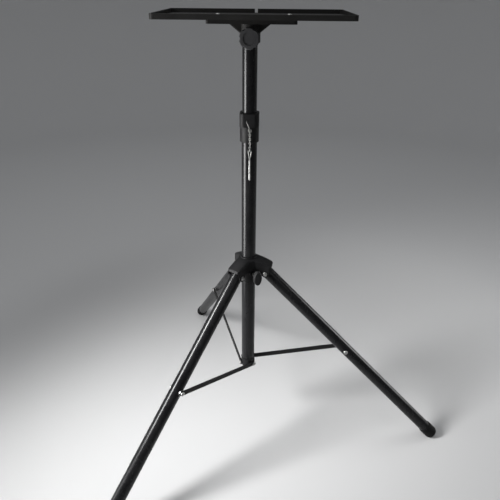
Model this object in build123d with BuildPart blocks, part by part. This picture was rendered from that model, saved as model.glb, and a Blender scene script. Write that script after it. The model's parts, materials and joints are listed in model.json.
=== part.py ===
"""Portable projector stand: a tray on a telescopic mast with a folding tripod base.

Millimetres. The mast stands on the Z axis with the floor at Z = 0, X runs along
the tray's long side and Y points away from the viewer. The stand is drawn as it
is in use, with the legs spread and the height pin hanging on its chain.
"""
import os
from math import asin, atan2, cos, degrees, hypot, radians, sin

from build123d import *

os.makedirs("parts", exist_ok=True)

# Fits
slide_gap = 0.3        # radial gap between pieces that slide or turn on each other
side_gap = 0.4         # gap beside a bar or tube that swings on a bolt
link_gap = 0.3         # slack between one chain link and the next

# Mast tubes
mast_od = 35.0
tube_wall = 1.2
mast_top = 880.0
upper_length = 630.0
upper_raise = 176.0    # upper tube's top above the lower tube's top

# Height collar at the top of the lower tube
collar_rise = 7.0      # collar above the lower tube's top
collar_drop = 57.0     # collar below the lower tube's top
collar_wall = 3.7
collar_edge = 0.6
block_width = 43.0
block_height = 29.0
block_corner_r = 11.0
block_edge = 1.6
pin_hole_drop = 16.0   # pin hole below the lower tube's top
pin_hole_pitch = 60.0
pin_hole_count = 6

# Folding base
leg_count = 3
leg_azimuth = 352.0    # direction of the first leg, anticlockwise from X
leg_tilt = 45.3        # between leg and mast in use
leg_od = 31.0
leg_wall = 1.2
leg_head = 7.0         # leg tube beyond its pivot
pivot_radius = 45.5
pivot_height = 490.0
strut_joint = 311.0    # along the leg, from its pivot to the strut's bolt
strut_height = 12.0
strut_thick = 3.0
strut_pivot_height = 190.0

# Rubber feet
foot_wall = 1.9
foot_grip = 26.0       # leg tube held inside the foot
foot_floor = 8.0       # rubber past the end of the tube
foot_round = 8.0

# Hub that slides on the mast and carries the legs
hub_rise = 41.5        # hub's top above the leg pivots
hub_drop = 28.0        # hub's sleeve below the leg pivots
hub_wall = 2.6
hub_edge = 1.0         # rounding round the top of the hub's neck
hub_body_rise = 5.8    # body between the arms, outside the sleeve
hub_blend = 7.0        # rounding where an arm leaves the body
arm_wall = 2.6
arm_reach = 60.5
arm_root_rise = 38.5   # heights of the arm's top above the leg pivots
arm_bend_rise = 30.0
arm_end_rise = 19.5
arm_bend_reach = 43.0
arm_roof = 2.7
arm_nose = 4.0         # height of the hood over the leg's end
arm_skirt = 5.0        # arm's lower edge above the leg pivots
arm_edge = 5.0
arm_corner_r = 6.5
ear_r = 9.5            # lug round each leg pivot

# Bolts and rivets
bolt_r = 3.0
bolt_head_r = 5.6
bolt_head_height = 3.6
bolt_head_edge = 0.6
washer_r = 7.0

# End plug in the foot of the mast
plug_rise = 18.0       # mast's lower end above the strut pivots
plug_drop = 8.0        # plug below the strut pivots
plug_spigot = 22.0
plug_corner_r = 19.0

# Clamp knobs
screw_r = 4.0
boss_r = 8.0
knob_neck_r = 7.0
knob_neck = 6.0
knob_edge = 2.0
knob_thick = 11.0
knob_lobes = 6
knob_flute_r = 8.0
knob_flute_depth = 1.6
knob_dish = 1.2        # depth of the sunk face
knob_dish_share = 0.63  # its radius over the knob's
wing_thick = 9.0
wing_share = 0.55      # width of a wing knob over its length
tray_knob_r = 20.5
tray_knob_azimuth = 270.0
tray_knob_drop = 16.5  # below the upper tube's top
tray_boss_reach = 27.0
hub_knob_r = 19.0
hub_knob_azimuth = 299.0
hub_knob_drop = 1.0    # below the leg pivots
hub_boss_reach = 27.5
hub_screw_bare = 12.0   # screw in view between boss and knob
collar_knob_r = 18.0
collar_knob_azimuth = 80.0
collar_knob_drop = 34.0
collar_boss_reach = 29.0
collar_screw_bare = 3.0

# Tray and its bracket
tray_width = 381.0
tray_depth = 234.0
tray_shift = 9.5       # tray set to the right of the mast
tray_rise = 21.0       # tray floor above the upper tube's top
rim_height = 10.0
sheet = 1.5
hem = 2.6              # thickness of the rim's folded edge
rim_round = 0.9
tray_corner_r = 8.0
corner_gap = 0.3        # floor's round corners clear of the rim
notch_width = 6.4      # slot in the middle of the back rim
notch_depth = 8.0
plate_width = 175.0
plate_depth = 140.0
plate_shift = 5.0      # plate set to the right of the mast
plate_height = 9.5
plate_corner_r = 5.0
plate_sheet = 2.0
socket_drop = 28.0     # socket below the upper tube's top
socket_wall = 5.0
socket_edge = 2.5
gusset_width = 93.0    # across both gussets, under the plate
gusset_thick = 26.0
gusset_drop = 8.0      # gusset's toe below the upper tube's top
gusset_bend = 3.0
tray_screw_x = 76.0
tray_screw_y = 58.0
tray_screw_r = 5.2
screw_taper = 45.0     # slope of a sunk screw's head
tray_shank_r = 3.0
tray_nut_r = 5.0
tray_nut_height = 5.0
nut_sides = 6

# Height pin on its chain
hook_wire_r = 1.0
hook_bend = 3.5        # wire on either side of the ring that hangs on it
hook_round = 2.5
hook_head_r = 1.9
hook_head = 1.2
hook_drop = 7.0       # hook below the lower tube's top
hook_start_x = -5.0
chain_drop = 17.0      # from the hook's start down to its end
chain_x = 2.4
chain_reach = 36.0     # from the mast's axis to the chain
link_wire_r = 0.6
link_length = 7.5
link_width = 4.4
link_count = 8
ring_r = 3.0
ring_wire_r = 0.8
loop_width = 8.5
loop_height = 24.0
loop_wire_r = 1.0
pin_r = 2.5
pin_length = 47.0
pin_tip = 1.2

# Worked out from the sizes above
mast_bottom = strut_pivot_height + plug_rise
mast_r = mast_od / 2
mast_bore_r = mast_r - tube_wall
upper_top = mast_top + upper_raise
upper_bottom = upper_top - upper_length
upper_r = mast_bore_r - slide_gap
upper_bore_r = upper_r - tube_wall
collar_top = mast_top + collar_rise
collar_bottom = mast_top - collar_drop
collar_r = mast_r + collar_wall
collar_knob_height = mast_top - collar_knob_drop
pin_hole_height = mast_top - pin_hole_drop
leg_r = leg_od / 2
hub_top = pivot_height + hub_rise
hub_bottom = pivot_height - hub_drop
hub_knob_height = pivot_height - hub_knob_drop
hub_bore_r = mast_r + slide_gap
hub_r = hub_bore_r + hub_wall
hub_body_r = hub_r + hub_body_rise
skirt_height = pivot_height + arm_skirt
arm_gap_half = leg_r + side_gap
arm_half = arm_gap_half + arm_wall
arm_pocket = hub_r + arm_wall
leg_azimuths = [leg_azimuth + 360 / leg_count * i for i in range(leg_count)]
tilt = radians(leg_tilt)
joint_radius = pivot_radius + strut_joint * sin(tilt)
joint_height = pivot_height - strut_joint * cos(tilt)
strut_length = hypot(joint_radius, joint_height - strut_pivot_height)
strut_rise = degrees(atan2(joint_height - strut_pivot_height, joint_radius))
plug_flat = mast_r + side_gap
strut_inner = plug_flat + side_gap
strut_outer = strut_inner + strut_thick
foot_r = leg_r + foot_wall
foot_drop = foot_r * sin(tilt)
leg_end = (pivot_height - foot_drop) / cos(tilt)
bolt_hole_r = bolt_r + slide_gap
screw_hole_r = screw_r + slide_gap
pin_hole_r = pin_r + slide_gap
socket_bottom = upper_top - socket_drop
socket_bore_r = upper_r + slide_gap
socket_r = socket_bore_r + socket_wall
tray_knob_height = upper_top - tray_knob_drop
tray_floor_height = upper_top + tray_rise
well_width = tray_width - 2 * hem
well_depth = tray_depth - 2 * hem
well_corner_r = tray_corner_r - hem
plate_under = tray_floor_height - plate_sheet
plate_bottom = tray_floor_height - plate_height
gusset_toe = upper_top - gusset_drop
block_front = -block_width / 2
hook_height = mast_top - hook_drop
chain_top = hook_height - chain_drop


def save(part, name):
    """Label a part and write it to its own file."""
    part.label = name
    export_step(part, f"parts/{name}.step")


def outward(azimuth):
    """Unit vector that points away from the mast."""
    return Vector(cos(radians(azimuth)), sin(radians(azimuth)), 0)


def sideways(azimuth):
    """Unit vector along a leg's bolts, anticlockwise seen from above."""
    return Vector(-sin(radians(azimuth)), cos(radians(azimuth)), 0)


def mast_distance(point):
    """Distance of a point or a corner from the mast's axis."""
    return hypot(point.X, point.Y)


def upright_plane(azimuth, side=0.0):
    """Plane with x outward from the mast and y up, moved sideways."""
    origin = sideways(azimuth) * side
    return Plane(origin=origin, x_dir=outward(azimuth), z_dir=sideways(azimuth) * -1)


def radial_plane(azimuth, reach, height):
    """Plane that faces away from the mast at a distance and a height."""
    origin = outward(azimuth) * reach + Vector(0, 0, height)
    return Plane(origin=origin, x_dir=sideways(azimuth), z_dir=outward(azimuth))


def leg_plane(azimuth, along=0.0):
    """Plane across a leg, with z down the leg and x along its bolts."""
    down = outward(azimuth) * sin(tilt) + Vector(0, 0, -cos(tilt))
    origin = outward(azimuth) * pivot_radius + Vector(0, 0, pivot_height) + down * along
    return Plane(origin=origin, x_dir=sideways(azimuth), z_dir=down)


def bolt_plane(azimuth, reach, height, side):
    """Plane across a sideways bolt, facing anticlockwise."""
    origin = outward(azimuth) * reach + Vector(0, 0, height) + sideways(azimuth) * side
    return Plane(origin=origin, x_dir=outward(azimuth), z_dir=sideways(azimuth))


def far_face(body, plane):
    """Face of a part that lies furthest along a plane's z axis."""
    return body.faces().sort_by(Axis(plane.origin, plane.z_dir))[-1]


def rivet(plane, length, heads=(True, True)):
    """Bolt along a plane's z axis, with a domed head at either end."""
    with BuildPart() as body:
        with BuildSketch(plane):
            Circle(bolt_r)
        extrude(amount=length)
        if heads[0]:
            with BuildSketch(plane):
                Circle(bolt_head_r)
            extrude(amount=-bolt_head_height)
            rim = body.faces().sort_by(Axis(plane.origin, plane.z_dir))[0].edges()
            fillet(rim, radius=bolt_head_height - bolt_head_edge)
        if heads[1]:
            with BuildSketch(plane.offset(length)):
                Circle(bolt_head_r)
            extrude(amount=bolt_head_height)
            fillet(far_face(body, plane).edges(), radius=bolt_head_height - bolt_head_edge)
    return body.part


def clamp_screw(face, bare, depth):
    """Clamp screw with a knob's neck on it, through a face that it stands on."""
    with BuildPart() as body:
        with BuildSketch(face.offset(-depth)):
            Circle(screw_r)
        extrude(amount=depth + bare)
        with BuildSketch(face.offset(bare)):
            Circle(knob_neck_r)
        extrude(amount=knob_neck)
    return body.part


def round_knob(azimuth, height, boss_reach, held_r, radius):
    """Round hand knob with shallow flutes and a sunk face, on its clamp screw."""
    face = radial_plane(azimuth, boss_reach + slide_gap, height)
    grip = face.offset(knob_neck)
    with BuildPart() as body:
        with BuildSketch(grip) as outline:
            Circle(radius)
            with PolarLocations(radius + knob_flute_r - knob_flute_depth, knob_lobes):
                Circle(knob_flute_r, mode=Mode.SUBTRACT)
            fillet(outline.vertices(), radius=knob_edge)
        extrude(amount=knob_thick)
        fillet(far_face(body, grip).edges(), radius=knob_edge)
        with BuildSketch(grip.offset(knob_thick)):
            Circle(radius * knob_dish_share)
        extrude(amount=-knob_dish, mode=Mode.SUBTRACT)
        add(clamp_screw(face, 0, boss_reach + slide_gap - held_r))
    return body.part


def wing_knob(azimuth, height, boss_reach, held_r, radius, bare):
    """Oval wing knob that stands upright, with its clamp screw in view."""
    face = radial_plane(azimuth, boss_reach + slide_gap, height)
    grip = face.offset(bare + knob_neck)
    with BuildPart() as body:
        with BuildSketch(grip):
            Ellipse(radius * wing_share, radius)
        extrude(amount=wing_thick)
        fillet(far_face(body, grip).edges(), radius=knob_edge)
        add(clamp_screw(face, bare, boss_reach + slide_gap - held_r))
    return body.part


def oval_wire(facing, top, length, width, wire_r):
    """Closed oval of round wire that hangs in the chain's line."""
    side = width / 2 - wire_r
    bend = (length - width) / 2
    centre = Vector(chain_x, -chain_reach, top - length / 2)
    with BuildPart() as body:
        with BuildLine(Plane(origin=centre, x_dir=facing.x_dir, z_dir=facing.z_dir)) as path:
            Line((side, -bend), (side, bend))
            ThreePointArc((side, bend), (0, bend + side), (-side, bend))
            Line((-side, bend), (-side, -bend))
            ThreePointArc((-side, -bend), (0, -bend - side), (side, -bend))
        with BuildSketch(Plane(path.wire() @ 0, z_dir=path.wire() % 0)):
            Circle(wire_r)
        sweep(path=path.wire())
    return body.part


def boss(azimuth, height, reach):
    """Add a round boss for a clamp screw to the part being built."""
    with BuildSketch(radial_plane(azimuth, 0, height)) as disc:
        Circle(boss_r)
    extrude(disc.sketch, amount=reach)


def screw_hole(azimuth, height, reach, radius):
    """Cut a hole for a clamp screw or a pin from the mast's axis outward."""
    with BuildSketch(radial_plane(azimuth, 0, height)) as disc:
        Circle(radius)
    extrude(disc.sketch, amount=reach, mode=Mode.SUBTRACT)


# Lower mast tube, with holes for the height pin and the clamp screw
with BuildPart() as lower_tube:
    with BuildSketch(Plane.XY.offset(mast_bottom)):
        Circle(mast_r)
        Circle(mast_bore_r, mode=Mode.SUBTRACT)
    extrude(amount=mast_top - mast_bottom)
    with BuildSketch(Plane.YZ.offset(-mast_od)):
        with Locations((0, pin_hole_height)):
            Circle(pin_hole_r)
    extrude(amount=2 * mast_od, mode=Mode.SUBTRACT)
    screw_hole(collar_knob_azimuth, collar_knob_height, mast_od, screw_hole_r)
save(lower_tube.part, "lower_tube")

# Upper mast tube, with a row of pin holes
with BuildPart() as upper_tube:
    with BuildSketch(Plane.XY.offset(upper_bottom)):
        Circle(upper_r)
        Circle(upper_bore_r, mode=Mode.SUBTRACT)
    extrude(amount=upper_length)
    with BuildSketch(Plane.YZ.offset(-mast_od)):
        for i in range(pin_hole_count):
            with Locations((0, pin_hole_height - i * pin_hole_pitch)):
                Circle(pin_hole_r)
    extrude(amount=2 * mast_od, mode=Mode.SUBTRACT)
save(upper_tube.part, "upper_tube")

# Height collar: a round sleeve below a rounded clamp block, with a boss for its knob
with BuildPart() as collar:
    with BuildSketch(Plane.XY.offset(collar_bottom)):
        Circle(collar_r)
    extrude(amount=collar_top - block_height - collar_bottom)
    chamfer(collar.faces().sort_by(Axis.Z)[0].edges(), length=collar_edge)
    with BuildSketch(Plane.XY.offset(collar_top - block_height)):
        RectangleRounded(block_width, block_width, block_corner_r)
    extrude(amount=block_height)
    fillet(collar.faces().sort_by(Axis.Z)[-1].edges(), radius=block_edge)
    boss(collar_knob_azimuth, collar_knob_height, collar_boss_reach)
    with BuildSketch(Plane.XY.offset(collar_bottom)):
        Circle(mast_r)
    extrude(amount=mast_top - collar_bottom, mode=Mode.SUBTRACT)
    with BuildSketch(Plane.XY.offset(mast_top)):
        Circle(mast_bore_r)
    extrude(amount=collar_top - mast_top, mode=Mode.SUBTRACT)
    with BuildSketch(Plane.YZ.offset(-mast_od)):
        with Locations((0, pin_hole_height)):
            Circle(pin_hole_r)
    extrude(amount=2 * mast_od, mode=Mode.SUBTRACT)
    screw_hole(collar_knob_azimuth, collar_knob_height, collar_boss_reach, screw_hole_r)
save(collar.part, "collar")

collar_knob = wing_knob(collar_knob_azimuth, collar_knob_height, collar_boss_reach,
                        upper_r + slide_gap, collar_knob_r, collar_screw_bare)
save(collar_knob, "collar_knob")

# Plug in the foot of the mast, with a flat for each strut
with BuildPart() as end_plug:
    with BuildSketch(Plane.XY.offset(mast_bottom)):
        Circle(plug_corner_r)
        RegularPolygon(plug_flat, leg_count, major_radius=False,
                       rotation=leg_azimuth + 90 - 180 / leg_count,
                       mode=Mode.INTERSECT)
    extrude(amount=-(plug_rise + plug_drop))
    with BuildSketch(Plane.XY.offset(mast_bottom)):
        Circle(mast_bore_r)
    extrude(amount=plug_spigot)
    for azimuth in leg_azimuths:
        with BuildSketch(bolt_plane(azimuth, 0, strut_pivot_height, plug_flat)):
            Circle(bolt_r)
        extrude(amount=-plug_flat / 2, mode=Mode.SUBTRACT)
save(end_plug.part, "end_plug")

# Hub: a moulded body on the mast, with a hooded arm for each leg that the leg swings in
hood_span = hypot(arm_reach, arm_half)
with BuildPart() as hub:
    with BuildSketch(Plane.XY.offset(skirt_height)) as plan:
        Circle(hub_body_r)
        with PolarLocations(arm_reach / 2, leg_count, start_angle=leg_azimuth):
            Rectangle(arm_reach, 2 * arm_half)
        fillet(plan.vertices().filter_by(lambda v: mast_distance(v) < arm_reach), radius=hub_blend)
        fillet(plan.vertices().filter_by(lambda v: mast_distance(v) > arm_reach), radius=arm_corner_r)
    extrude(amount=hub_top - skirt_height)

    # The arms' tops fall away from the mast in one curve
    with BuildSketch(upright_plane(leg_azimuth + 180)):
        with BuildLine():
            ThreePointArc((hub_r, pivot_height + arm_root_rise),
                          (arm_bend_reach, pivot_height + arm_bend_rise),
                          (hood_span, pivot_height + arm_end_rise))
            Polyline((hood_span, pivot_height + arm_end_rise), (hood_span, skirt_height),
                     (0, skirt_height), (0, pivot_height + arm_root_rise),
                     (hub_r, pivot_height + arm_root_rise))
        make_face()
    revolve(axis=Axis.Z, mode=Mode.INTERSECT)
    hood = hub.faces().filter_by(lambda f: f.geom_type not in (GeomType.PLANE, GeomType.CYLINDER))[0]
    rim = hood.edges().filter_by(lambda e: mast_distance(e @ 0.5) > hub_body_r - slide_gap)
    fillet(rim, radius=arm_edge)

    # Sleeve that stands up as a neck, knob boss and a lug on either side of each leg pivot
    with BuildSketch(Plane.XY.offset(hub_bottom)):
        Circle(hub_r)
    extrude(amount=hub_top - hub_bottom)
    fillet(hub.faces().sort_by(Axis.Z)[-1].edges(), radius=hub_edge)
    boss(hub_knob_azimuth, hub_knob_height, hub_boss_reach)
    for azimuth in leg_azimuths:
        for side in (-1, 1):
            with BuildSketch(upright_plane(azimuth, side * arm_gap_half)):
                with Locations((pivot_radius, pivot_height)):
                    Circle(ear_r)
                    Rectangle(2 * ear_r, arm_skirt + arm_roof, align=(Align.CENTER, Align.MIN))
            extrude(amount=-side * arm_wall)

    # Pockets for the legs, pivot holes and the bore
    for azimuth in leg_azimuths:
        with BuildSketch(upright_plane(azimuth)):
            with BuildLine():
                Polyline(
                    (arm_pocket, pivot_height + arm_bend_rise - arm_roof),
                    (arm_bend_reach, pivot_height + arm_bend_rise - arm_roof),
                    (arm_reach - arm_roof, pivot_height + arm_end_rise - arm_roof),
                    (arm_reach - arm_roof, pivot_height + arm_end_rise - arm_nose),
                    (2 * arm_reach, pivot_height + arm_end_rise - arm_nose),
                    (2 * arm_reach, hub_bottom - arm_reach),
                    (arm_pocket, hub_bottom - arm_reach),
                    close=True,
                )
            make_face()
        extrude(amount=arm_gap_half, both=True, mode=Mode.SUBTRACT)
        with BuildSketch(upright_plane(azimuth)):
            with Locations((pivot_radius, pivot_height)):
                Circle(bolt_r)
        extrude(amount=2 * arm_half, both=True, mode=Mode.SUBTRACT)
    with BuildSketch(Plane.XY.offset(hub_bottom)):
        Circle(hub_bore_r)
    extrude(amount=hub_top - hub_bottom, mode=Mode.SUBTRACT)
    screw_hole(hub_knob_azimuth, hub_knob_height, hub_boss_reach, screw_hole_r)
save(hub.part, "hub")

hub_knob = wing_knob(hub_knob_azimuth, hub_knob_height, hub_boss_reach,
                     mast_r + slide_gap, hub_knob_r, hub_screw_bare)
save(hub_knob, "hub_knob")

# Legs, feet, struts and their bolts
for number, azimuth in enumerate(leg_azimuths, start=1):
    with BuildPart() as leg_tube:
        with BuildSketch(leg_plane(azimuth, -leg_head)):
            Circle(leg_r)
            Circle(leg_r - leg_wall, mode=Mode.SUBTRACT)
        extrude(amount=leg_end + leg_head)
        with BuildSketch(bolt_plane(azimuth, pivot_radius, pivot_height, -leg_od)):
            Circle(bolt_hole_r)
        extrude(amount=2 * leg_od, mode=Mode.SUBTRACT)
        with BuildSketch(bolt_plane(azimuth, joint_radius, joint_height, -leg_od)):
            Circle(bolt_r)
        extrude(amount=2 * leg_od, mode=Mode.SUBTRACT)
    save(leg_tube.part, f"leg_tube_{number}")

    with BuildPart() as leg_foot:
        with BuildSketch(leg_plane(azimuth, leg_end - foot_grip)):
            Circle(foot_r)
        extrude(amount=foot_grip + foot_floor)
        fillet(far_face(leg_foot, leg_plane(azimuth)).edges(), radius=foot_round)
        with BuildSketch(leg_plane(azimuth, leg_end)):
            Circle(leg_r)
        extrude(amount=-2 * foot_grip, mode=Mode.SUBTRACT)
        with BuildSketch(Plane.XY):
            Circle(2 * leg_end)
        extrude(amount=-2 * foot_round, mode=Mode.SUBTRACT)
    save(leg_foot.part, f"leg_foot_{number}")

    pivot = rivet(bolt_plane(azimuth, pivot_radius, pivot_height, -arm_half), 2 * arm_half)
    save(pivot, f"leg_pivot_{number}")

    joint_plane = bolt_plane(azimuth, joint_radius, joint_height, -leg_r)
    joint_reach = leg_r + strut_inner - side_gap
    with BuildPart() as leg_bolt:
        add(rivet(joint_plane, joint_reach, heads=(True, False)))
        with BuildSketch(joint_plane.offset(joint_reach)):
            Circle(washer_r)
        extrude(amount=leg_r + side_gap - joint_reach + leg_r)
    save(leg_bolt.part, f"leg_bolt_{number}")

    with BuildPart() as strut:
        with BuildSketch(upright_plane(azimuth, strut_inner)):
            with Locations((0, strut_pivot_height)):
                with Locations(Rotation(0, 0, strut_rise)):
                    with Locations((strut_length / 2, 0)):
                        SlotCenterToCenter(strut_length, strut_height)
        extrude(amount=-strut_thick)
        with BuildSketch(upright_plane(azimuth, strut_inner)):
            with Locations((0, strut_pivot_height)):
                Circle(bolt_hole_r)
            with Locations((joint_radius, joint_height)):
                Circle(bolt_r)
        extrude(amount=-strut_thick, mode=Mode.SUBTRACT)
    save(strut.part, f"strut_{number}")

    strut_nut = rivet(bolt_plane(azimuth, joint_radius, joint_height, strut_inner),
                      strut_thick, heads=(False, True))
    save(strut_nut, f"strut_nut_{number}")

    strut_pivot = rivet(bolt_plane(azimuth, 0, strut_pivot_height, plug_flat / 2),
                        strut_outer + slide_gap - plug_flat / 2, heads=(False, True))
    save(strut_pivot, f"strut_pivot_{number}")

# Tray: a flat floor with sunk screw holes
screw_columns = (plate_shift - tray_screw_x, plate_shift + tray_screw_x)
screw_places = [(x, y * tray_screw_y) for y in (-1, 1) for x in screw_columns]
with BuildPart() as tray:
    with BuildSketch(Plane.XY.offset(tray_floor_height)):
        with Locations((tray_shift, 0)):
            RectangleRounded(well_width, well_depth, well_corner_r + corner_gap)
    extrude(amount=sheet)
    with BuildSketch(Plane.XY.offset(tray_floor_height + sheet)):
        with Locations(*screw_places):
            Circle(tray_screw_r)
    extrude(amount=-sheet, taper=screw_taper, mode=Mode.SUBTRACT)
save(tray.part, "tray")

# Folded rim round the tray's floor, with a slot in the middle of its back
with BuildPart() as rim_ring:
    with BuildSketch(Plane.XY.offset(tray_floor_height)):
        with Locations((tray_shift, 0)):
            RectangleRounded(tray_width, tray_depth, tray_corner_r)
            RectangleRounded(well_width, well_depth, well_corner_r, mode=Mode.SUBTRACT)
    extrude(amount=rim_height)
    fillet(rim_ring.faces().sort_by(Axis.Z)[-1].edges(), radius=rim_round)
    with BuildSketch(Plane.XY.offset(tray_floor_height + rim_height)):
        with Locations((tray_shift, tray_depth / 2)):
            Rectangle(notch_width, 4 * hem)
    extrude(amount=-notch_depth, mode=Mode.SUBTRACT)

# The rim is folded up on four sides, which meet in mitres at the corners
half_width = tray_width / 2 + hem
half_depth = tray_depth / 2 + hem
mitre_left = (tray_shift - half_width + half_depth, 0)
mitre_right = (tray_shift + half_width - half_depth, 0)
corners = [(tray_shift + x * half_width, y * half_depth) for x, y in ((-1, -1), (1, -1), (1, 1), (-1, 1))]
rim_sides = {
    "front": (corners[0], corners[1], mitre_right, mitre_left),
    "right": (corners[1], corners[2], mitre_right),
    "back": (corners[2], corners[3], mitre_left, mitre_right),
    "left": (corners[3], corners[0], mitre_left),
}
for side, outline in rim_sides.items():
    with BuildPart() as rim_fold:
        with BuildSketch(Plane.XY.offset(tray_floor_height)):
            with BuildLine():
                Polyline(*outline, close=True)
            make_face()
        extrude(amount=2 * rim_height)
        add(rim_ring.part, mode=Mode.INTERSECT)
    save(rim_fold.part, f"tray_rim_{side}")

# Plate under the tray, with its edges folded down
with BuildPart() as under_plate:
    with BuildSketch(Plane.XY.offset(plate_bottom)):
        with Locations((plate_shift, 0)):
            RectangleRounded(plate_width, plate_depth, plate_corner_r)
    extrude(amount=plate_height)
    with BuildSketch(Plane.XY.offset(plate_bottom)):
        with Locations((plate_shift, 0)):
            RectangleRounded(plate_width - 2 * plate_sheet, plate_depth - 2 * plate_sheet,
                             plate_corner_r - plate_sheet)
    extrude(amount=plate_height - plate_sheet, mode=Mode.SUBTRACT)
    with BuildSketch(Plane.XY.offset(plate_under)):
        with Locations(*screw_places):
            Circle(tray_shank_r)
    extrude(amount=plate_sheet, mode=Mode.SUBTRACT)
save(under_plate.part, "under_plate")

# Socket that turns on the top of the upper tube
with BuildPart() as tray_socket:
    with BuildSketch(Plane.XY.offset(socket_bottom)):
        Circle(socket_r)
    extrude(amount=plate_under - socket_bottom)
    fillet(tray_socket.faces().sort_by(Axis.Z)[0].edges(), radius=socket_edge)
    boss(tray_knob_azimuth, tray_knob_height, tray_boss_reach)
    with BuildSketch(Plane.XY.offset(socket_bottom)):
        Circle(socket_bore_r)
    extrude(amount=upper_top + slide_gap - socket_bottom, mode=Mode.SUBTRACT)
    screw_hole(tray_knob_azimuth, tray_knob_height, tray_boss_reach, screw_hole_r)
save(tray_socket.part, "tray_socket")

tray_knob = round_knob(tray_knob_azimuth, tray_knob_height, tray_boss_reach,
                       upper_r + slide_gap, tray_knob_r)
save(tray_knob, "tray_knob")

# Gussets from the socket out to the plate, with rounded folds along their slopes
for side, name in ((-1, "gusset_left"), (1, "gusset_right")):
    with BuildPart() as gusset:
        with BuildSketch(Plane.XZ):
            with BuildLine():
                Polyline(
                    (side * upper_r, gusset_toe),
                    (side * socket_r, gusset_toe),
                    (side * gusset_width / 2, plate_bottom),
                    (side * gusset_width / 2, plate_under),
                    (side * upper_r, plate_under),
                    close=True,
                )
            make_face()
        extrude(amount=gusset_thick / 2, both=True)
        folds = gusset.edges().filter_by(lambda e: abs((e % 0.5).Y) < abs((e % 0.5).X)
                                         and gusset_toe < (e @ 0.5).Z < plate_bottom)
        fillet(folds, radius=gusset_bend)
        with BuildSketch(Plane.XY.offset(socket_bottom)):
            Circle(socket_r)
        extrude(amount=tray_floor_height - socket_bottom, mode=Mode.SUBTRACT)
    save(gusset.part, name)

# Sunk screws that hold the tray to the plate, each with its nut
for number, (x, y) in enumerate(screw_places, start=1):
    head_plane = Plane(origin=(x, y, tray_floor_height + sheet))
    nut_plane = Plane(origin=(x, y, plate_under))
    with BuildPart() as tray_screw:
        with BuildSketch(head_plane):
            Circle(tray_screw_r)
        extrude(amount=-sheet, taper=screw_taper)
        with BuildSketch(nut_plane):
            Circle(tray_shank_r)
        extrude(amount=plate_sheet)
        with BuildSketch(nut_plane):
            RegularPolygon(tray_nut_r, nut_sides, major_radius=False)
        extrude(amount=-tray_nut_height)
    save(tray_screw.part, f"tray_screw_{number}")

# Wire hook on the collar's block, with a round head at its end
near, far = hook_bend - chain_reach, -hook_bend - chain_reach
with BuildPart() as pin_hook:
    with BuildLine() as hook_path:
        FilletPolyline(
            (hook_start_x, block_front, hook_height),
            (hook_start_x, near, hook_height),
            (chain_x, near, chain_top),
            (chain_x, far, chain_top),
            radius=hook_round,
        )
    with BuildSketch(Plane(hook_path.line @ 0, z_dir=hook_path.line % 0)):
        Circle(hook_wire_r)
    sweep(path=hook_path.line)
    with BuildSketch(Plane.XZ.offset(-far)):
        with Locations((chain_x, chain_top)):
            Circle(hook_head_r)
    extrude(amount=hook_head)
save(pin_hook.part, "pin_hook")

# Chain: a ring on the hook, oval links, then a ring that the pin hangs from
first_ring = chain_top - (ring_r - ring_wire_r - hook_wire_r - link_gap)
link_pitch = link_length - 4 * link_wire_r - link_gap
link_top = first_ring - ring_r + ring_wire_r + link_gap + 2 * link_wire_r
chain_end = link_top - link_length - (link_count - 1) * link_pitch
last_ring = chain_end + 2 * link_wire_r + link_gap + ring_wire_r - ring_r
with BuildPart() as pin_chain:
    with Locations(Location((chain_x, -chain_reach, first_ring), (90, 0, 0))):
        Torus(ring_r, ring_wire_r)
    for i in range(link_count):
        facing = Plane.YZ if i % 2 == 0 else Plane.XZ
        add(oval_wire(facing, link_top - i * link_pitch, link_length, link_width, link_wire_r))
    with Locations(Location((chain_x, -chain_reach, last_ring), (0, 90, 0))):
        Torus(ring_r, ring_wire_r)
save(pin_chain.part, "pin_chain")

# Height pin with a teardrop loop of wire
loop_bend = loop_width / 2 - loop_wire_r
loop_top = last_ring - ring_r + ring_wire_r + link_gap + 2 * loop_wire_r
pin_top = loop_top - loop_height
loop_centre = loop_height - loop_wire_r - loop_bend
loop_lean = asin(loop_bend / loop_centre)
touch_x = loop_bend * cos(loop_lean)
touch_y = loop_centre - loop_bend * sin(loop_lean)
with BuildPart() as lock_pin:
    with BuildSketch(Plane.XY.offset(pin_top + loop_wire_r)):
        with Locations((chain_x, -chain_reach)):
            Circle(pin_r)
    extrude(amount=-pin_length)
    chamfer(lock_pin.edges().sort_by(Axis.Z)[0], length=pin_tip)
    for side in (-1, 1):
        start = Plane(origin=(chain_x, -chain_reach, pin_top), x_dir=(1, 0, 0), z_dir=(0, -1, 0))
        with BuildLine(start) as loop_path:
            Line((0, 0), (side * touch_x, touch_y))
            ThreePointArc((side * touch_x, touch_y), (side * loop_bend, loop_centre),
                          (0, loop_centre + loop_bend))
        with BuildSketch(Plane(loop_path.wire() @ 0, z_dir=loop_path.wire() % 0)):
            Circle(loop_wire_r)
        sweep(path=loop_path.wire())
save(lock_pin.part, "lock_pin")
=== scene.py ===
"""Looks of the portable projector stand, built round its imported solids.

Metres, in the frame of the solids: the mast stands on Z, the floor is at Z = 0,
X runs along the tray's long side and Y points away from the viewer.
"""
import json
from math import pi, radians, tau
from typing import NamedTuple

import bpy
from bpy.props import FloatProperty, FloatVectorProperty, IntProperty, PointerProperty
from mathutils import Matrix, Quaternion, Vector


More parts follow.
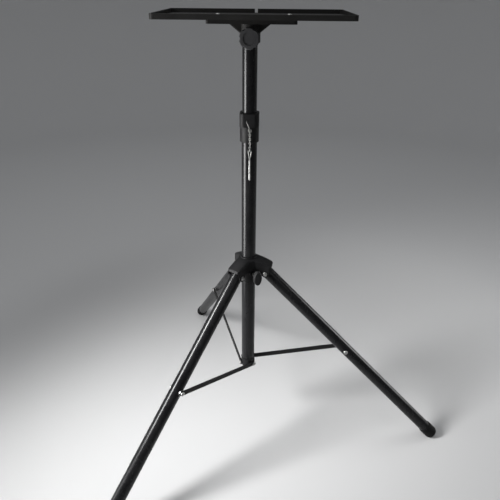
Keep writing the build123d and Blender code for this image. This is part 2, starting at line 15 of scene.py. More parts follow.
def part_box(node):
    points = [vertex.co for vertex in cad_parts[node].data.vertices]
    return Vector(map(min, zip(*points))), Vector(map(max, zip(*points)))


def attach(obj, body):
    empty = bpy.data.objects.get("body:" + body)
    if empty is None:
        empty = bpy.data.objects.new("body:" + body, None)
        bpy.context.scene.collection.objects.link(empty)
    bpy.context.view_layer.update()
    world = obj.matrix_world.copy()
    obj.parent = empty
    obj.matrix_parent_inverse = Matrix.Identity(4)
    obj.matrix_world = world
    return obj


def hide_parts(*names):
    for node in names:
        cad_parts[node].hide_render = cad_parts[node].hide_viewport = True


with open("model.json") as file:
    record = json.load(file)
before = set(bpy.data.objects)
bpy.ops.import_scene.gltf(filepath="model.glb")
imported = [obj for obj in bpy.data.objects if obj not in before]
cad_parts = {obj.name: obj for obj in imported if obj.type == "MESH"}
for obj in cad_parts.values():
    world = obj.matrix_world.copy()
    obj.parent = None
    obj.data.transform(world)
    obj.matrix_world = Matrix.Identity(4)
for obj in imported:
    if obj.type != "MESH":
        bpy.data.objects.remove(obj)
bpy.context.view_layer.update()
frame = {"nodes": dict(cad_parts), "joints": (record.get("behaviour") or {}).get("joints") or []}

bl_info = {
    "name": "Projector stand looks",
    "version": (1, 0, 0),
    "blender": (4, 5, 0),
    "location": "3D View > Sidebar > Stand",
    "description": "Finishes, small fittings and a studio for the projector stand",
    "category": "Object",
}

NODES = frame["nodes"]
JOINTS = {joint["name"]: joint for joint in frame["joints"]}
LEGS = (1, 2, 3)
TRAY_SCREWS = (1, 2, 3, 4)


class Surface(NamedTuple):
    """How a finish shines: its roughness range, specular level and depth of relief in metres."""
    smooth: float
    rough: float
    specular: float
    relief: float


GLOSS = Surface(smooth=0.23, rough=0.32, specular=0.21, relief=0.000003)
COAT = Surface(smooth=0.50, rough=0.62, specular=0.18, relief=0.00006)
BAR = Surface(smooth=0.42, rough=0.56, specular=0.12, relief=0.00003)
MOULD = Surface(smooth=0.46, rough=0.58, specular=0.15, relief=0.00008)
RUBBER = Surface(smooth=0.62, rough=0.82, specular=0.12, relief=0.0001)
STEEL = Surface(smooth=0.24, rough=0.40, specular=0.5, relief=0.00002)
MARK_STRETCH = (1.0, 1.0, 0.04)     # marks drawn out along the mast

# The Mix node's sockets, by number because its numbers and its colours share their names
MIX_SHARE = 0
MIX_NUMBERS = (2, 3)
MIX_COLOURS = (6, 7)
MIXED_NUMBER = 0
MIXED_COLOUR = 2


class Lamp(NamedTuple):
    """A soft rectangular lamp: its place, what it faces, its sides, and its angles in degrees."""
    name: str
    place: tuple
    aim: tuple
    size: tuple
    spread: float = 180.0
    roll: float = 0.0


LAMPS = (
    Lamp("strip", place=(-0.90, -0.33, 0.48), aim=(0, 0, 0.66), size=(0.46, 0.92), spread=60),
    Lamp("side", place=(-1.44, -0.66, 1.33), aim=(-0.18, -0.22, 0.25), size=(0.48, 0.92),
         spread=54, roll=28),
    Lamp("top", place=(-0.3, 0.2, 2.9), aim=(0, 0, 0.4), size=(1.8, 1.8)),
    Lamp("fill", place=(1.9, -1.9, 2.0), aim=(0, 0, 0.7), size=(1.0, 1.0)),
    Lamp("rim", place=(1.8, 0.45, 0.60), aim=(0.28, -0.1, 0.18), size=(0.8, 0.9), spread=40),
)
SENSOR_WIDTH = 36.0                 # millimetres
FLOOR_SIDES = 96
FLOOR_ROUGHNESS = 0.9
FLOOR_SPECULAR = 0.1
COVE_STEPS = 12
COVE_ANGLE = radians(60)            # edges sharper than this are rounded into the cove

THREAD_CORNERS = 3
MERGE_GAP = 1e-7                    # points closer than this are one point
FACES_Z = 0.9                       # least Z of the normal of a face that points up or down
HEAD_SIDES = 48
CROWN_STEPS = ((0.12, 0.45), (0.25, 0.35), (0.30, 0.20))   # shares of the head's radius and crown
NUT_SIDES = 6
NUT_EDGE_STEPS = 2
RECESS_TURN = radians(25)           # each tray screw is left turned this much further
CREASE = radians(30)                # sharper edges stay crisp


def colour(name, description, default):
    """Colour that a user can change."""
    return FloatVectorProperty(name=name, description=description, subtype="COLOR",
                               size=3, min=0.0, max=1.0, default=default)


def length(name, description, default):
    """Length that a user can change."""
    return FloatProperty(name=name, description=description, unit="LENGTH",
                         min=0.0, precision=5, default=default)


def share(name, description, default):
    """Share from none to all that a user can change."""
    return FloatProperty(name=name, description=description, subtype="FACTOR",
                         min=0.0, max=1.0, default=default)


def power(name, description, default):
    """Lamp power that a user can change."""
    return FloatProperty(name=name, description=description, unit="POWER",
                         min=0.0, default=default)


class StandFinish(bpy.types.PropertyGroup):
    """Colours and surface sizes of the stand's finishes."""
    tube_paint: colour("Tube paint", "Gloss paint on the mast and legs", (0.0035, 0.0035, 0.0040))
    tube_haze: colour("Tube haze", "Thin haze and dust on the gloss paint", (0.0090, 0.0090, 0.0095))
    tray_paint: colour("Tray coat", "Powder coat on the tray and its bracket", (0.0085, 0.0082, 0.0078))
    tray_haze: colour("Tray haze", "Lighter specks in the powder coat", (0.0185, 0.0178, 0.0170))
    strut_paint: colour("Strut paint", "Paint on the flat struts", (0.0050, 0.0050, 0.0050))
    strut_haze: colour("Strut haze", "Worn paint on the flat struts", (0.0120, 0.0120, 0.0120))
    hub_plastic: colour("Hub plastic", "Moulded hub, collar and plug", (0.0042, 0.0042, 0.0045))
    hub_haze: colour("Hub haze", "Lighter grain of the moulded hub and collar", (0.0100, 0.0100, 0.0104))
    knob_plastic: colour("Knob plastic", "Moulded round knob under the tray", (0.036, 0.036, 0.038))
    knob_haze: colour("Knob haze", "Lighter grain of the round knob", (0.060, 0.060, 0.062))
    wing_plastic: colour("Wing plastic", "Moulded wing knobs on hub and collar", (0.010, 0.010, 0.0105))
    wing_haze: colour("Wing haze", "Lighter grain of the wing knobs", (0.020, 0.020, 0.0205))
    rubber: colour("Rubber", "Rubber feet", (0.004, 0.004, 0.004))
    rubber_dust: colour("Rubber dust", "Dust on the rubber near the floor", (0.022, 0.0215, 0.020))
    steel_dark: colour("Steel, dark", "Hollows and streaks of the plated steel", (0.16, 0.16, 0.157))
    steel_light: colour("Steel, light", "Bright parts of the plated steel", (0.36, 0.36, 0.35))
    gloss_ripple: length("Paint ripple", "Distance between ripples in the gloss paint", 0.0022)
    coat_grain: length("Coat grain", "Distance between specks of the powder coat", 0.0007)
    mould_grain: length("Mould grain", "Distance between grains of the mouldings", 0.0008)
    haze_gap: length("Haze", "Distance between patches of haze on the gloss paint", 0.045)
    mark_gap: length("Marks", "Distance between marks along the gloss paint", 0.006)
    coat_cloud: length("Coat clouds", "Distance between clouds in the powder coat", 0.06)
    bar_streak: length("Strut streaks", "Distance between rubbed streaks on the struts", 0.004)
    mould_cloud: length("Mould clouds", "Distance between clouds in the mouldings", 0.02)
    rubber_patch: length("Rubber patches", "Distance between dusty patches on the rubber", 0.006)
    rubber_grain: length("Rubber grain", "Distance between grains of the rubber", 0.0012)
    dust_high: length("Dust height", "How far up the rubber the dust reaches", 0.03)
    steel_streak: length("Steel streaks", "Distance between streaks on the plated steel", 0.0012)
    steel_patch: length("Steel patches", "Distance between patches on the plated steel", 0.008)


class StandFittings(bpy.types.PropertyGroup):
    """Sizes of the small fittings that are modelled here."""
    thread_core: length("Thread core", "Radius of a clamp screw", 0.0040)
    thread_depth: length("Thread depth", "Height of the screw's thread", 0.0007)
    thread_pitch: length("Thread pitch", "Rise of the thread in one turn", 0.0015)
    thread_steps: IntProperty(name="Thread steps", description="Sides to one turn of the thread",
                              min=8, default=24)
    hub_bare: length("Hub screw", "Screw in view between the hub and its knob", 0.0120)
    collar_bare: length("Collar screw", "Screw in view between the collar and its knob", 0.0030)
    screw_gap: length("Screw gap", "Gap between a boss and the first thread", 0.0004)
    head_r: length("Screw head", "Radius of a sunk tray screw's head", 0.0052)
    head_deep: length("Screw head depth", "Depth of a sunk tray screw's head", 0.0015)
    crown_high: length("Screw crown", "Height of the crown on a sunk tray screw's head", 0.0020)
    shank_r: length("Screw shank", "Radius of a tray screw's shank", 0.0030)
    nut_r: length("Tray nut", "Corner radius of a tray screw's nut", 0.0057)
    nut_high: length("Tray nut height", "Height of a tray screw's nut", 0.0050)
    nut_edge: length("Tray nut edge", "Bevel on a tray screw's nut", 0.0005)
    recess_long: length("Recess length", "Length of the cross recess in a screw head", 0.0056)
    recess_wide: length("Recess width", "Width of the cross recess in a screw head", 0.0012)
    recess_deep: length("Recess depth", "Depth of the cross recess in a screw head", 0.0010)


class StandStudio(bpy.types.PropertyGroup):
    """Camera, floor and lamps."""
    camera_place: FloatVectorProperty(name="Camera place", description="Where the camera stands",
                                      subtype="TRANSLATION", unit="LENGTH", size=3,
                                      default=(0.04063, -1.11027, 1.13589))
    camera_pitch: FloatProperty(name="Camera pitch", description="How far the camera looks down",
                                subtype="ANGLE", default=radians(28.0))
    camera_heading: FloatProperty(name="Camera heading", description="Camera turned to the left",
                                  subtype="ANGLE", default=radians(1.92))
    camera_roll: FloatProperty(name="Camera roll", description="Camera rolled on its own axis",
                               subtype="ANGLE", default=radians(0.45))
    camera_lens: FloatProperty(name="Lens", description="Focal length on a 36 mm sensor",
                               subtype="DISTANCE_CAMERA", default=36.09)
    # The wall colour is lighter than the floor colour. Away from the stand the floor takes it on as
    # painted light, lifting the floor where the lamps' light falls off.
    floor_pale: colour("Floor", "Pale studio floor round the stand", (0.46, 0.46, 0.46))
    wall_and_painted_lift: colour("Wall", "Grey studio wall that the floor runs into", (0.60, 0.60, 0.60))
    lift_start_r: length("Pale floor", "From the mast to where the floor starts to turn grey", 0.60)
    lift_full_r: length("Grey floor", "From the mast to where the floor is as grey as the wall", 1.30)
    floor_r: length("Floor radius", "From the mast to the studio wall", 4.5)
    wall_high: length("Wall height", "Height of the studio wall", 3.2)
    cove_r: length("Cove", "Rounding between floor and wall", 1.2)
    sky_pale: colour("Room", "Light from above the studio wall", (0.80, 0.82, 0.85))
    sky_strength: share("Room strength", "Strength of the light from above the wall", 0.38)
    strip_power: power("Strip lamp", "Upright lamp close to the stand's left", 3.6)
    side_power: power("Side lamp", "Raised lamp on the left", 9.0)
    top_power: power("Top lamp", "Wide lamp overhead", 14.0)
    fill_power: power("Fill lamp", "Wide lamp in front on the right", 5.0)
    rim_power: power("Rim lamp", "Low lamp behind on the right", 1.2)


def look(node, material):
    """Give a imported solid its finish."""
    slots = NODES[node].material_slots
    if not slots:
        raise RuntimeError(f"{node} has no material slot")
    for place in slots:
        place.material = material


def clear_selection():
    """Leave edit mode with nothing selected."""
    if bpy.context.object and bpy.context.object.mode != "OBJECT":
        bpy.ops.object.mode_set(mode="OBJECT")
    bpy.ops.object.select_all(action="DESELECT")


def settle(piece, name, body, material):
    """Apply a new piece's place to its mesh, name it and let it ride on a body."""
    clear_selection()
    piece.select_set(True)
    bpy.context.view_layer.objects.active = piece
    bpy.ops.object.transform_apply(location=True, rotation=True, scale=True)
    piece.name = name
    piece.data.name = name
    piece.data.materials.clear()
    piece.data.materials.append(material)
    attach(piece, body)
    clear_selection()


class Finish:
    """One procedural material, with its patterns on the piece's own coordinates."""

    def __init__(self, name):
        self.material = bpy.data.materials.new(name)
        self.material.use_nodes = True
        self.tree = self.material.node_tree
        self.shader = self.tree.nodes["Principled BSDF"]
        self.place = self.tree.nodes.new("ShaderNodeTexCoord").outputs["Object"]

    def node(self, kind, **links):
        """Add a node and link its named inputs."""
        made = self.tree.nodes.new(kind)
        for name, source in links.items():
            self.tree.links.new(source, made.inputs[name])
        return made

    def speckle(self, spacing, detail=3.0, stretch=None):
        """Noise with a spacing in metres, drawn out along an axis if asked."""
        place = self.place
        if stretch:
            mapping = self.node("ShaderNodeMapping", Vector=place)
            mapping.inputs["Scale"].default_value = stretch
            place = mapping.outputs["Vector"]
        noise = self.node("ShaderNodeTexNoise", Vector=place)
        noise.inputs["Scale"].default_value = 1.0 / spacing
        noise.inputs["Detail"].default_value = detail
        return noise.outputs["Fac"]

    def spread(self, value, low=0.0, high=1.0, start=0.3, end=0.7):
        """Map a pattern from start and end to low and high."""
        mapped = self.node("ShaderNodeMapRange", Value=value)
        mapped.inputs["From Min"].default_value = start
        mapped.inputs["From Max"].default_value = end
        mapped.inputs["To Min"].default_value = low
        mapped.inputs["To Max"].default_value = high
        return mapped.outputs["Result"]

    def mix(self, value, first, second):
        """Mix two colours, each a colour or another pattern's output."""
        mixer = self.tree.nodes.new("ShaderNodeMix")
        mixer.data_type = "RGBA"
        self.tree.links.new(value, mixer.inputs[MIX_SHARE])
        for number, source in zip(MIX_COLOURS, (first, second)):
            if isinstance(source, bpy.types.NodeSocket):
                self.tree.links.new(source, mixer.inputs[number])
            else:
                mixer.inputs[number].default_value = (*source, 1.0)
        return mixer.outputs[MIXED_COLOUR]

    def blend(self, value, first, second):
        """Mix two numbers, each a number or another pattern's output."""
        mixer = self.tree.nodes.new("ShaderNodeMix")
        self.tree.links.new(value, mixer.inputs[MIX_SHARE])
        for number, source in zip(MIX_NUMBERS, (first, second)):
            if isinstance(source, bpy.types.NodeSocket):
                self.tree.links.new(source, mixer.inputs[number])
            else:
                mixer.inputs[number].default_value = source
        return mixer.outputs[MIXED_NUMBER]

    def feed(self, socket, source):
        """Link a pattern to one of the shader's sockets, or set a constant on it."""
        if isinstance(source, bpy.types.NodeSocket):
            self.tree.links.new(source, self.shader.inputs[socket])
        else:
            self.shader.inputs[socket].default_value = source

    def relief(self, height, depth):
        """Raise the surface by a pattern, to a depth in metres."""
        bump = self.node("ShaderNodeBump", Height=height)
        bump.inputs["Distance"].default_value = depth
        self.tree.links.new(bump.outputs["Normal"], self.shader.inputs["Normal"])


def gloss_paint(finish):
    """Gloss black paint with a faint ripple, haze and marks along the mast."""
    paint = Finish("gloss_black_paint")
    haze = paint.speckle(finish.haze_gap, detail=6.0)
    marks = paint.speckle(finish.mark_gap, detail=4.0, stretch=MARK_STRETCH)
    hazed = paint.spread(haze)
    marked = paint.spread(marks, start=0.45, end=0.8)
    paint.feed("Base Color", paint.mix(hazed, finish.tube_paint, finish.tube_haze))
    paint.feed("Roughness", paint.blend(marked, GLOSS.smooth, GLOSS.rough))
    paint.feed("Specular IOR Level", GLOSS.specular)
    paint.relief(paint.speckle(finish.gloss_ripple, detail=1.0), GLOSS.relief)
    return paint.material


def powder_coat(finish):
    """Satin black powder coat with a fine orange-peel grain."""
    coat = Finish("satin_black_coat")
    specks = coat.speckle(finish.coat_grain, detail=2.0)
    haze = coat.speckle(finish.coat_cloud, detail=5.0)
    base = coat.mix(coat.spread(haze, high=0.5), finish.tray_paint, finish.tray_haze)
    coat.feed("Base Color", coat.mix(coat.spread(specks, high=0.35), base, finish.tray_haze))
    coat.feed("Roughness", coat.spread(haze, COAT.smooth, COAT.rough))
    coat.feed("Specular IOR Level", COAT.specular)
    coat.relief(specks, COAT.relief)
    return coat.material


def strut_coat(finish):
    """Satin black paint on flat bars, with rubbed streaks."""
    coat = Finish("satin_black_bar")
    streaks = coat.speckle(finish.bar_streak, detail=4.0)
    rubbed = coat.spread(streaks, start=0.4, end=0.8)
    coat.feed("Base Color", coat.mix(rubbed, finish.strut_paint, finish.strut_haze))
    coat.feed("Roughness", coat.spread(streaks, BAR.smooth, BAR.rough))
    coat.feed("Specular IOR Level", BAR.specular)
    coat.relief(coat.speckle(finish.coat_grain, detail=1.0), BAR.relief)
    return coat.material


def moulding(finish, name, base, haze):
    """Moulded black plastic with a fine spark grain."""
    plastic = Finish(name)
    grain = plastic.speckle(finish.mould_grain, detail=2.0)
    cloud = plastic.speckle(finish.mould_cloud, detail=5.0)
    tone = plastic.mix(plastic.spread(cloud, high=0.7), base, haze)
    plastic.feed("Base Color", plastic.mix(plastic.spread(grain, high=0.4), tone, haze))
    plastic.feed("Roughness", plastic.spread(cloud, MOULD.smooth, MOULD.rough))
    plastic.feed("Specular IOR Level", MOULD.specular)
    plastic.relief(grain, MOULD.relief)
    return plastic


def foot_rubber(finish):
    """Matte black rubber, dusty near the floor."""
    rubber = Finish("black_foot_rubber")
    height = rubber.node("ShaderNodeSeparateXYZ", Vector=rubber.place).outputs["Z"]
    patches = rubber.speckle(finish.rubber_patch, detail=6.0)
    near_floor = rubber.spread(height, low=0.75, high=0.0, start=0.0, end=finish.dust_high)
    dusty = rubber.spread(patches, start=0.4, end=0.7)
    dust = rubber.node("ShaderNodeMath")
    dust.operation = "MULTIPLY"
    rubber.tree.links.new(near_floor, dust.inputs[0])
    rubber.tree.links.new(dusty, dust.inputs[1])
    rubber.feed("Base Color", rubber.mix(dust.outputs[0], finish.rubber, finish.rubber_dust))
    rubber.feed("Roughness", rubber.spread(patches, RUBBER.smooth, RUBBER.rough))
    rubber.feed("Specular IOR Level", RUBBER.specular)
    rubber.relief(rubber.speckle(finish.rubber_grain, detail=2.0), RUBBER.relief)
    return rubber.material


def plated_steel(finish):
    """Zinc-plated steel with fine drawn streaks."""
    steel = Finish("bright_plated_steel")
    streaks = steel.speckle(finish.steel_streak, detail=4.0)
    patches = steel.speckle(finish.steel_patch, detail=4.0)
    bright = steel.spread(patches, low=0.3)
    steel.feed("Base Color", steel.mix(bright, finish.steel_dark, finish.steel_light))
    steel.feed("Roughness", steel.spread(streaks, STEEL.smooth, STEEL.rough))
    steel.feed("Specular IOR Level", STEEL.specular)
    steel.feed("Metallic", 1.0)
    steel.relief(streaks, STEEL.relief)
    return steel.material


def screwed_knob(finish, node, joint, bare, base, haze):
    """Knob plastic that turns to plated steel where the clamp screw is bare."""
    plastic = moulding(finish, f"{node}_plastic", base, haze)
    axis = Vector(JOINTS[joint]["axis"])
    reach = axis.dot(Vector(JOINTS[joint]["pos_m"])) + bare
    out = plastic.node("ShaderNodeVectorMath", Vector=plastic.place)
    out.operation = "DOT_PRODUCT"
    out.inputs[1].default_value = axis
    screw = plastic.node("ShaderNodeMath")
    screw.operation = "LESS_THAN"
    plastic.tree.links.new(out.outputs["Value"], screw.inputs[0])
    screw.inputs[1].default_value = reach
    mask = screw.outputs[0]
    streaks = plastic.speckle(finish.steel_streak, detail=4.0)
    steel = plastic.mix(plastic.spread(streaks), finish.steel_dark, finish.steel_light)
    shine = plastic.spread(streaks, STEEL.smooth, STEEL.rough)
    for socket, join, metal in (("Base Color", plastic.mix, steel), ("Roughness", plastic.blend, shine)):
        moulded = plastic.shader.inputs[socket].links[0].from_socket
        plastic.feed(socket, join(mask, moulded, metal))
    plastic.feed("Metallic", mask)
    return plastic.material


class STAND_OT_paint_tubes(bpy.types.Operator):
    """Paint the mast tubes and the legs gloss black"""
    bl_idname = "stand.paint_tubes"
    bl_label = "Paint the tubes"

    def execute(self, context):
        paint = gloss_paint(context.scene.stand_finish)
        for node in ("lower_tube", "upper_tube", *(f"leg_tube_{k}" for k in LEGS)):
            look(node, paint)
        return {"FINISHED"}


class STAND_OT_coat_tray(bpy.types.Operator):
    """Powder-coat the tray, its plate, gussets and socket"""
    bl_idname = "stand.coat_tray"
    bl_label = "Coat the tray"

    def execute(self, context):
        coat = powder_coat(context.scene.stand_finish)
        rims = [node for node in NODES if node.startswith("tray_rim_")]
        for node in ("tray", *rims, "under_plate", "gusset_left", "gusset_right", "tray_socket"):
            look(node, coat)
        return {"FINISHED"}


class STAND_OT_paint_struts(bpy.types.Operator):
    """Paint the flat struts satin black"""
    bl_idname = "stand.paint_struts"
    bl_label = "Paint the struts"

    def execute(self, context):
        coat = strut_coat(context.scene.stand_finish)
        for k in LEGS:
            look(f"strut_{k}", coat)
        return {"FINISHED"}


class STAND_OT_grain_mouldings(bpy.types.Operator):
    """Give the hub, collar and plug their grained plastic"""
    bl_idname = "stand.grain_mouldings"
    bl_label = "Grain the mouldings"

    def execute(self, context):
        finish = context.scene.stand_finish
        plastic = moulding(finish, "hub_plastic", finish.hub_plastic, finish.hub_haze).material
        for node in ("hub", "collar", "end_plug"):
            look(node, plastic)
        return {"FINISHED"}


class STAND_OT_finish_knobs(bpy.types.Operator):
    """Give the hand knobs their plastic and their bare screws their steel"""
    bl_idname = "stand.finish_knobs"
    bl_label = "Finish the knobs"

    def execute(self, context):
        finish = context.scene.stand_finish
        fittings = context.scene.stand_fittings
        look("tray_knob", screwed_knob(finish, "tray_knob", "tray_knob_turn", 0.0,
                                       finish.knob_plastic, finish.knob_haze))
        for node, bare in (("collar_knob", fittings.collar_bare), ("hub_knob", fittings.hub_bare)):
            look(node, screwed_knob(finish, node, f"{node}_turn", bare,
                                    finish.wing_plastic, finish.wing_haze))
        return {"FINISHED"}


class STAND_OT_rubber_feet(bpy.types.Operator):
    """Give the feet their dusty rubber"""
    bl_idname = "stand.rubber_feet"
    bl_label = "Rubber the feet"

    def execute(self, context):
        rubber = foot_rubber(context.scene.stand_finish)
        for k in LEGS:
            look(f"leg_foot_{k}", rubber)
        return {"FINISHED"}


class STAND_OT_plate_steel(bpy.types.Operator):
    """Plate the rivets, bolts, nuts, chain, hook and pin"""
    bl_idname = "stand.plate_steel"
    bl_label = "Plate the steel"

    def execute(self, context):
        steel = plated_steel(context.scene.stand_finish)
        for name in ("leg_pivot", "leg_bolt", "strut_nut", "strut_pivot"):
            for k in LEGS:
                look(f"{name}_{k}", steel)
        for node in ("pin_hook", "pin_chain", "lock_pin"):
            look(node, steel)
        return {"FINISHED"}


class STAND_OT_cut_threads(bpy.types.Operator):
    """Cut the threads of the clamp screws that are in view"""
    bl_idname = "stand.cut_threads"
    bl_label = "Cut the threads"

    def execute(self, context):
        sizes = context.scene.stand_fittings
        steel = bpy.data.materials["bright_plated_steel"]
        for node, bare in (("hub_knob", sizes.hub_bare), ("collar_knob", sizes.collar_bare)):
            joint = JOINTS[f"{node}_turn"]
            clear_selection()
            bpy.ops.mesh.primitive_circle_add(vertices=THREAD_CORNERS, radius=sizes.thread_depth,
                                              location=(sizes.thread_core, 0, 0),
                                              rotation=(pi / 2, 0, 0))
            thread = context.object
            bpy.ops.object.transform_apply(location=True, rotation=True, scale=True)
            turn = thread.modifiers.new("turns", "SCREW")
            turn.axis = "Z"
            turn.angle = tau
            turn.screw_offset = sizes.thread_pitch
            turn.iterations = max(1, int((bare - sizes.screw_gap) / sizes.thread_pitch) - 1)
            turn.steps = turn.render_steps = sizes.thread_steps
            bpy.ops.object.modifier_apply(modifier=turn.name)
            bpy.ops.object.mode_set(mode="EDIT")
            bpy.ops.mesh.select_all(action="SELECT")
            bpy.ops.mesh.remove_doubles(threshold=MERGE_GAP)
            bpy.ops.mesh.select_all(action="DESELECT")
            bpy.ops.mesh.select_non_manifold()
            bpy.ops.mesh.edge_face_add()
            bpy.ops.mesh.select_all(action="SELECT")
            bpy.ops.mesh.normals_make_consistent(inside=False)
            bpy.ops.object.mode_set(mode="OBJECT")
            axis = Vector(joint["axis"])
            start = Vector(joint["pos_m"]) + axis * (sizes.screw_gap + sizes.thread_depth)
            facing = axis.to_track_quat("Z", "Y").to_matrix().to_4x4()
            thread.matrix_world = Matrix.Translation(start) @ facing
            settle(thread, f"{node}_thread", node, steel)
        return {"FINISHED"}


class STAND_OT_drive_tray_screws(bpy.types.Operator):
    """Model the sunk tray screws with a cross recess and a nut, and put them in their holes"""
    bl_idname = "stand.drive_tray_screws"
    bl_label = "Drive the tray screws"

    def execute(self, context):
        sizes = context.scene.stand_fittings
        steel = bpy.data.materials["bright_plated_steel"]
        low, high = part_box("tray_screw_1")
        clear_selection()
        bpy.ops.mesh.primitive_cone_add(vertices=HEAD_SIDES, radius1=sizes.head_r - sizes.head_deep,
                                        radius2=sizes.head_r, depth=sizes.head_deep,
                                        location=(0, 0, -sizes.head_deep / 2))
        screw = context.object
        bpy.ops.object.transform_apply(location=True, rotation=True, scale=True)

        # Shank below the head
        bpy.ops.object.mode_set(mode="EDIT")
        bpy.ops.mesh.select_all(action="DESELECT")
        bpy.ops.object.mode_set(mode="OBJECT")
        for face in screw.data.polygons:
            face.select = face.normal.z < -FACES_Z
        bpy.ops.object.mode_set(mode="EDIT")
        bpy.ops.mesh.inset(thickness=sizes.head_r - sizes.head_deep - sizes.shank_r)
        shank_long = high.z - low.z - sizes.head_deep
        bpy.ops.mesh.extrude_region_move(TRANSFORM_OT_translate={"value": (0, 0, -shank_long)})
        bpy.ops.mesh.select_all(action="DESELECT")
        bpy.ops.object.mode_set(mode="OBJECT")

        # Crown on top of the head
        for face in screw.data.polygons:
            face.select = face.normal.z > FACES_Z
        bpy.ops.object.mode_set(mode="EDIT")
        for inset, rise in CROWN_STEPS:
            bpy.ops.mesh.inset(thickness=sizes.head_r * inset)
            bpy.ops.transform.translate(value=(0, 0, sizes.crown_high * rise))
        bpy.ops.mesh.select_all(action="DESELECT")
        bpy.ops.object.mode_set(mode="OBJECT")

        # Cross recess
        for turn in (0, pi / 2):
            clear_selection()
            bpy.ops.mesh.primitive_cube_add(size=1, rotation=(0, 0, turn),
                                            location=(0, 0, sizes.crown_high),
                                            scale=(sizes.recess_long, sizes.recess_wide,
                                                   2 * sizes.recess_deep))
            cutter = context.object
            cut = screw.modifiers.new("recess", "BOOLEAN")
            cut.object = cutter
            cut.solver = "EXACT"
            clear_selection()
            screw.select_set(True)
            context.view_layer.objects.active = screw
            bpy.ops.object.modifier_apply(modifier=cut.name)
            bpy.data.objects.remove(cutter)

        # Six-sided nut with bevelled corners
        clear_selection()
        bpy.ops.mesh.primitive_cylinder_add(vertices=NUT_SIDES, radius=sizes.nut_r, depth=sizes.nut_high,
                                            rotation=(0, 0, pi / NUT_SIDES),
                                            location=(0, 0, low.z - high.z + sizes.nut_high / 2))
        nut = context.object
        edge = nut.modifiers.new("edge", "BEVEL")
        edge.width = sizes.nut_edge
        edge.segments = NUT_EDGE_STEPS
        bpy.ops.object.modifier_apply(modifier=edge.name)
        screw.select_set(True)
        context.view_layer.objects.active = screw
        bpy.ops.object.join()
        bpy.ops.object.shade_smooth_by_angle(angle=CREASE)

        # A screw in each hole, turned on its own
        for number in TRAY_SCREWS:
            low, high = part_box(f"tray_screw_{number}")
            seat = Vector(((low.x + high.x) / 2, (low.y + high.y) / 2, high.z))
            copy = screw.copy()
            copy.data = screw.data.copy()
            context.scene.collection.objects.link(copy)
            copy.matrix_world = (Matrix.Translation(seat)
                                 @ Matrix.Rotation(RECESS_TURN * number, 4, "Z"))
            settle(copy, f"sunk_screw_{number}", "tray", steel)
            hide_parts(f"tray_screw_{number}")
        bpy.data.objects.remove(screw)
        return {"FINISHED"}


def hang(lamp, watts):
    """Add a soft lamp that faces a point, rolled about that line."""
    bpy.ops.object.light_add(type="AREA", location=lamp.place)
    made = bpy.context.object
    made.name = f"{lamp.name}_lamp"
    made.data.shape = "RECTANGLE"
    made.data.size, made.data.size_y = lamp.size
    made.data.energy = watts
    made.data.spread = radians(lamp.spread)
    made.rotation_mode = "QUATERNION"
    facing = (Vector(lamp.aim) - Vector(lamp.place)).to_track_quat("-Z", "Y")
    made.rotation_quaternion = facing @ Quaternion((0, 0, 1), radians(lamp.roll))
    made.visible_camera = False


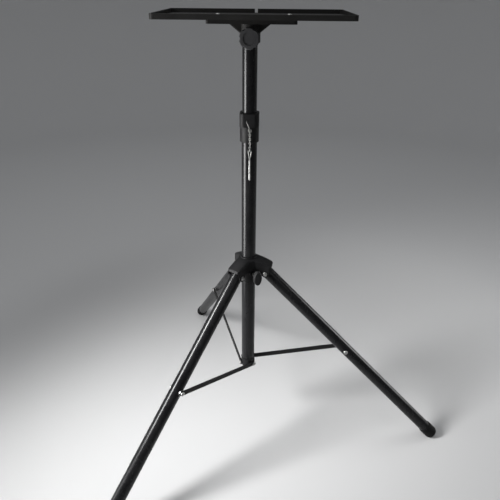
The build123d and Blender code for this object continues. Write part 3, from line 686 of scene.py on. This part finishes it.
class STAND_OT_set_studio(bpy.types.Operator):
    """Lay the floor, hang the lamps and set up the camera"""
    bl_idname = "stand.set_studio"
    bl_label = "Set the studio"

    def execute(self, context):
        scene = context.scene
        studio = scene.stand_studio
        scene.view_settings.view_transform = "Standard"

        # Floor that curves up into a wall all round
        clear_selection()
        bpy.ops.mesh.primitive_circle_add(vertices=FLOOR_SIDES, radius=studio.floor_r, fill_type="NGON")
        floor = context.object
        floor.name = "studio_floor"
        bpy.ops.object.mode_set(mode="EDIT")
        bpy.ops.mesh.select_mode(type="EDGE")
        bpy.ops.mesh.select_all(action="SELECT")
        bpy.ops.mesh.extrude_edges_move(TRANSFORM_OT_translate={"value": (0, 0, studio.wall_high)})
        bpy.ops.object.mode_set(mode="OBJECT")
        cove = floor.modifiers.new("cove", "BEVEL")
        cove.width = studio.cove_r
        cove.segments = COVE_STEPS
        cove.limit_method = "ANGLE"
        cove.angle_limit = COVE_ANGLE
        bpy.ops.object.modifier_apply(modifier=cove.name)
        bpy.ops.object.shade_smooth()

        # Floor colour near the stand turns outward into the lighter wall colour: painted light that
        # lifts the floor where the lamps' pool of light falls off
        pale = Finish("pale_floor")
        flat = pale.node("ShaderNodeMapping", Vector=pale.place)
        flat.inputs["Scale"].default_value = (1.0, 1.0, 0.0)
        reach = pale.node("ShaderNodeVectorMath", Vector=flat.outputs["Vector"])
        reach.operation = "LENGTH"
        edge = pale.spread(reach.outputs["Value"], start=studio.lift_start_r, end=studio.lift_full_r)
        edge.node.interpolation_type = "SMOOTHSTEP"
        pale.feed("Base Color", pale.mix(edge, studio.floor_pale, studio.wall_and_painted_lift))
        pale.feed("Roughness", FLOOR_ROUGHNESS)
        pale.feed("Specular IOR Level", FLOOR_SPECULAR)
        floor.data.materials.append(pale.material)

        # Light from the room and the lamps
        world = bpy.data.worlds.new("studio_room")
        world.use_nodes = True
        scene.world = world
        room = world.node_tree.nodes["Background"]
        room.inputs["Color"].default_value = (*studio.sky_pale, 1.0)
        room.inputs["Strength"].default_value = studio.sky_strength
        for lamp in LAMPS:
            hang(lamp, getattr(studio, f"{lamp.name}_power"))

        # Camera at the photograph's angle
        bpy.ops.object.camera_add()
        camera = context.object
        camera.name = "studio_camera"
        camera.data.sensor_width = SENSOR_WIDTH
        camera.data.lens = studio.camera_lens
        camera.matrix_world = (Matrix.Translation(studio.camera_place)
                               @ Matrix.Rotation(studio.camera_heading, 4, "Z")
                               @ Matrix.Rotation(pi / 2 - studio.camera_pitch, 4, "X")
                               @ Matrix.Rotation(studio.camera_roll, 4, "Z"))
        scene.camera = camera
        clear_selection()
        return {"FINISHED"}


OPERATORS = (
    STAND_OT_paint_tubes,
    STAND_OT_coat_tray,
    STAND_OT_paint_struts,
    STAND_OT_grain_mouldings,
    STAND_OT_finish_knobs,
    STAND_OT_rubber_feet,
    STAND_OT_plate_steel,
    STAND_OT_cut_threads,
    STAND_OT_drive_tray_screws,
    STAND_OT_set_studio,
)
GROUPS = {"stand_finish": StandFinish, "stand_fittings": StandFittings, "stand_studio": StandStudio}


class STAND_PT_looks(bpy.types.Panel):
    """Steps and settings of the stand's looks"""
    bl_idname = "STAND_PT_looks"
    bl_label = "Projector stand"
    bl_space_type = "VIEW_3D"
    bl_region_type = "UI"
    bl_category = "Stand"

    def draw(self, context):
        for step in OPERATORS:
            self.layout.operator(step.bl_idname)
        for name, group in GROUPS.items():
            box = self.layout.box()
            for setting in group.__annotations__:
                box.prop(getattr(context.scene, name), setting)


def register():
    for kind in (*GROUPS.values(), *OPERATORS, STAND_PT_looks):
        bpy.utils.register_class(kind)
    for name, group in GROUPS.items():
        setattr(bpy.types.Scene, name, PointerProperty(type=group))


def unregister():
    for name in GROUPS:
        delattr(bpy.types.Scene, name)
    for kind in reversed((*GROUPS.values(), *OPERATORS, STAND_PT_looks)):
        bpy.utils.unregister_class(kind)


def main():
    register()
    for step in OPERATORS:
        group, name = step.bl_idname.split(".")
        getattr(getattr(bpy.ops, group), name)()


if __name__ == "__main__":
    main()
